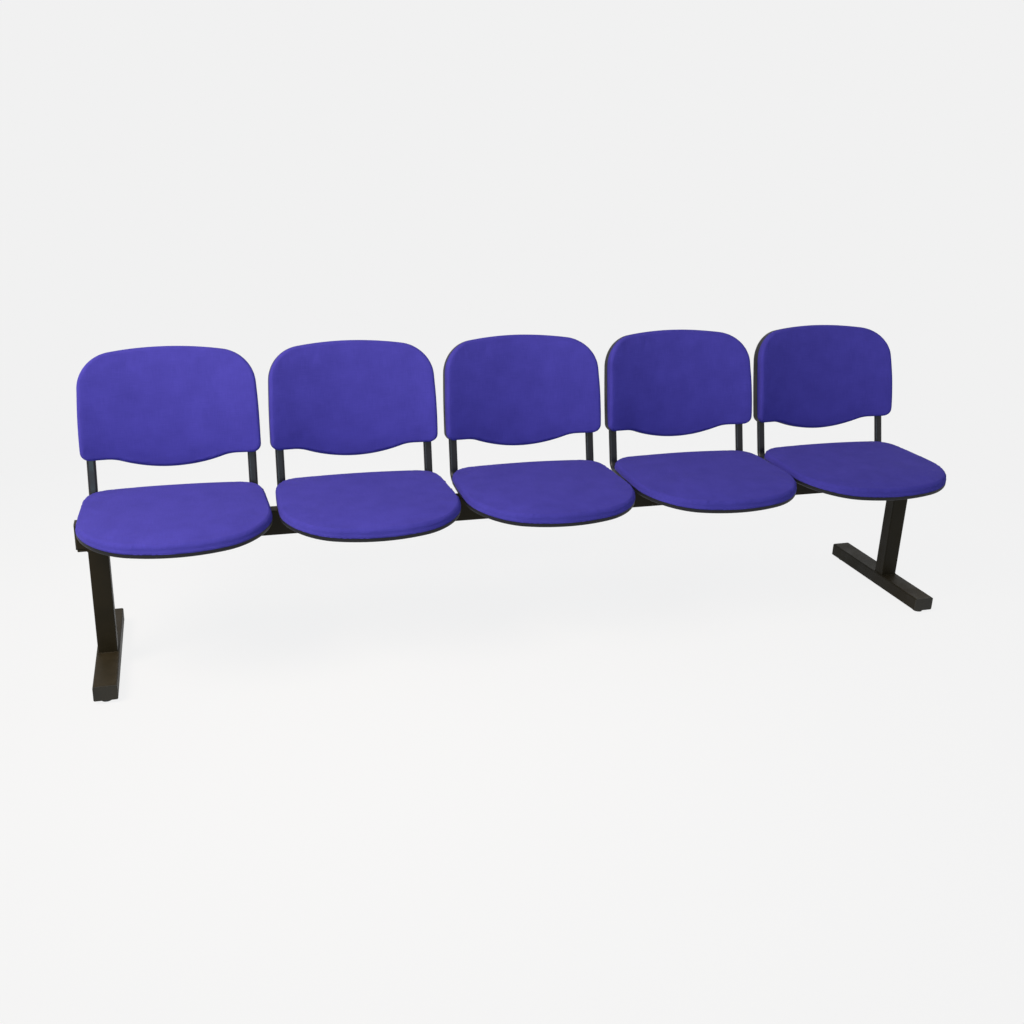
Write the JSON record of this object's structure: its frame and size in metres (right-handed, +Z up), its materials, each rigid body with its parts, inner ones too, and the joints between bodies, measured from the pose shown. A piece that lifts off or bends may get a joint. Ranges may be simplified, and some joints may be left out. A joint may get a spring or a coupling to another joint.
{
  "type": "beam seating",
  "caption": "Row of upholstered seats with curved backs on one steel beam, carried by a T-shaped leg near each end with levelling glides.",
  "frame": {"origin": "on the floor, in the middle of the object's length and depth", "axes": "+X along the beam to the sitter's left, +Y from the seats' front to their backs, +Z up"},
  "size_m": [2.506, 0.5584, 0.8156],
  "materials": {
    "upholstery": "woven, matt",
    "seat_board": "raw plywood",
    "back_board": "raw moulded plywood",
    "cover": "fine grained",
    "seat_frame": "powder coated, satin",
    "beam_and_legs": "powder coated, satin",
    "end_cap": "fine grained",
    "glide": "smooth",
    "fastener": "zinc plated"
  },
  "bodies": {
    "bench": {"back_board_1": "back_board", "back_board_2": "back_board", "back_board_3": "back_board", "back_board_4": "back_board", "back_board_5": "back_board", "back_cover_1": "cover", "back_cover_2": "cover", "back_cover_3": "cover", "back_cover_4": "cover", "back_cover_5": "cover", "back_pad_1": "upholstery", "back_pad_2": "upholstery", "back_pad_3": "upholstery", "back_pad_4": "upholstery", "back_pad_5": "upholstery", "back_screws": "fastener", "beam": "beam_and_legs", "beam_end_caps": "end_cap", "foot_bar_left": "beam_and_legs", "foot_bar_right": "beam_and_legs", "foot_end_caps": "end_cap", "frame_tube_left_1": "seat_frame", "frame_tube_left_2": "seat_frame", "frame_tube_left_3": "seat_frame", "frame_tube_left_4": "seat_frame", "frame_tube_left_5": "seat_frame", "frame_tube_right_1": "seat_frame", "frame_tube_right_2": "seat_frame", "frame_tube_right_3": "seat_frame", "frame_tube_right_4": "seat_frame", "frame_tube_right_5": "seat_frame", "leg_bolts": "fastener", "leg_column_left": "beam_and_legs", "leg_column_right": "beam_and_legs", "saddle_bolts": "fastener", "seat_board_1": "seat_board", "seat_board_2": "seat_board", "seat_board_3": "seat_board", "seat_board_4": "seat_board", "seat_board_5": "seat_board", "seat_bracket_1": "seat_frame", "seat_bracket_2": "seat_frame", "seat_bracket_3": "seat_frame", "seat_bracket_4": "seat_frame", "seat_bracket_5": "seat_frame", "seat_cover_1": "cover", "seat_cover_2": "cover", "seat_cover_3": "cover", "seat_cover_4": "cover", "seat_cover_5": "cover", "seat_pad_1": "upholstery", "seat_pad_2": "upholstery", "seat_pad_3": "upholstery", "seat_pad_4": "upholstery", "seat_pad_5": "upholstery", "seat_screws": "fastener"},
    "glide_front_left": {"glide_front_left": "glide"},
    "glide_front_right": {"glide_front_right": "glide"},
    "glide_rear_left": {"glide_rear_left": "glide"},
    "glide_rear_right": {"glide_rear_right": "glide"}
  },
  "joints": [
    {"name": "glide_front_left_screw", "type": "slide", "parent": "bench", "child": "glide_front_left", "axis": [0, 0, -1], "range_m": [0, 0.012]},
    {"name": "glide_front_right_screw", "type": "slide", "parent": "bench", "child": "glide_front_right", "axis": [0, 0, -1], "range_m": [0, 0.012]},
    {"name": "glide_rear_left_screw", "type": "slide", "parent": "bench", "child": "glide_rear_left", "axis": [0, 0, -1], "range_m": [0, 0.012]},
    {"name": "glide_rear_right_screw", "type": "slide", "parent": "bench", "child": "glide_rear_right", "axis": [0, 0, -1], "range_m": [0, 0.012]}
  ]
}
